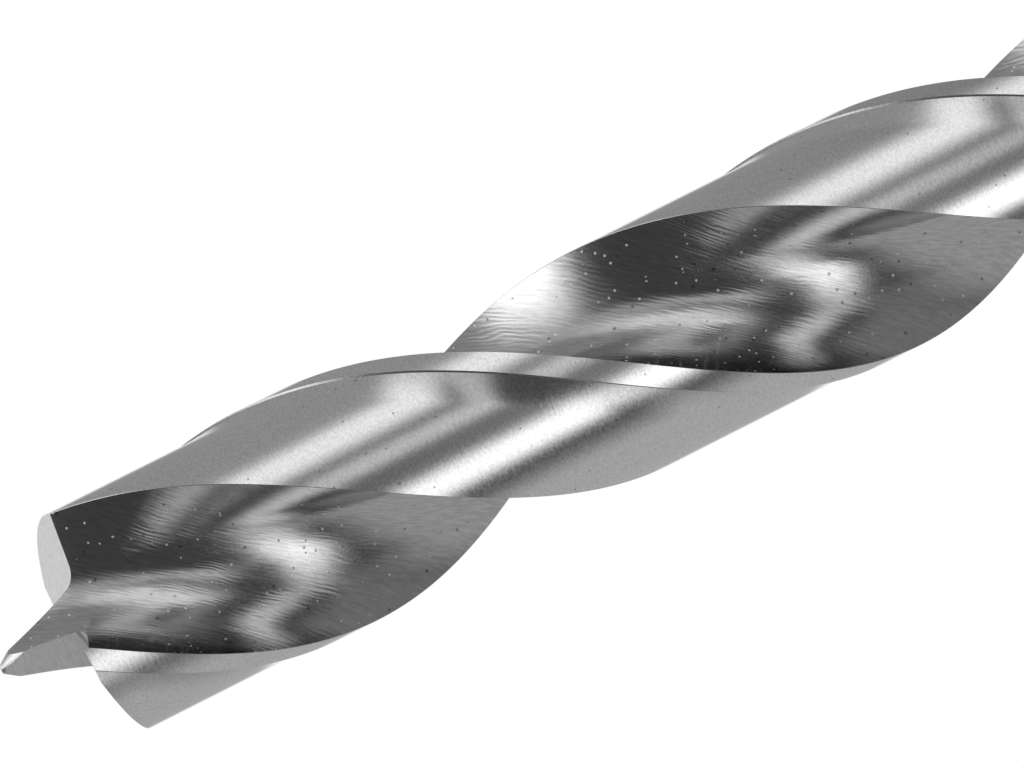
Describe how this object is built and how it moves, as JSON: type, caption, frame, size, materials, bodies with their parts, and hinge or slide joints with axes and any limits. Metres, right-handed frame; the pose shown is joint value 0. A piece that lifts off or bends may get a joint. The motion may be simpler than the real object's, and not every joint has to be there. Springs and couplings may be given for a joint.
{
  "type": "brad-point twist drill bit",
  "caption": "Twist drill bit for wood with a right-hand spiral flute pair, a ground brad point and a plain round shank.",
  "frame": {"origin": "centre of the flat end face of the shank, where the bit stands", "axes": "+Z along the drill's axis towards the brad point; one outer cutting corner lies on +X and the other on -X"},
  "size_m": [0.01, 0.01, 0.133],
  "materials": {
    "tool_steel": "ground high-speed steel, bright flutes, satin lands"
  },
  "bodies": {
    "root": {"drill_bit": "tool_steel"}
  },
  "joints": []
}
